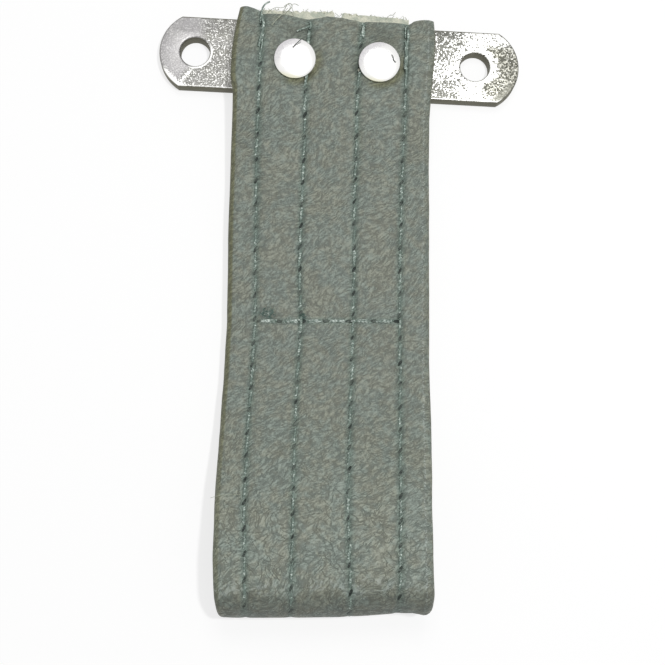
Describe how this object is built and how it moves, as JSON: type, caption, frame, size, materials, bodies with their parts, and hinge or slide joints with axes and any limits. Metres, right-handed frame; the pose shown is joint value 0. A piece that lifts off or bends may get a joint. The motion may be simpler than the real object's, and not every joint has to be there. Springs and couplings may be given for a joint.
{
  "type": "door pull strap",
  "caption": "Soft pull strap: a stitched vinyl sleeve folded into a flat hand loop and riveted to a flat steel plate with a screw hole at each end.",
  "frame": {"origin": "on the plate's back face, the face that is screwed to the door, midway between the two screw holes", "axes": "+Z points away from the door, +Y from the hand loop to the plate, +X along the plate to the right as seen from the front"},
  "size_m": [0.074, 0.1213, 0.0153],
  "materials": {
    "plate": "zinc plated, finely pitted",
    "vinyl": "grey-green vinyl leathercloth with a fine grain",
    "webbing": "white webbing, frayed at its cut ends",
    "thread": "sea green sewing thread",
    "rivet": "bright nickel plated"
  },
  "bodies": {
    "root": {"mounting_plate": "plate", "vinyl_cover": "vinyl", "webbing_core": "webbing", "stitch_row_1": "thread", "stitch_row_2": "thread", "stitch_row_3": "thread", "stitch_row_4": "thread", "cross_stitch_front": "thread", "cross_stitch_back": "thread", "rivet_left": "rivet", "rivet_right": "rivet"}
  },
  "joints": []
}
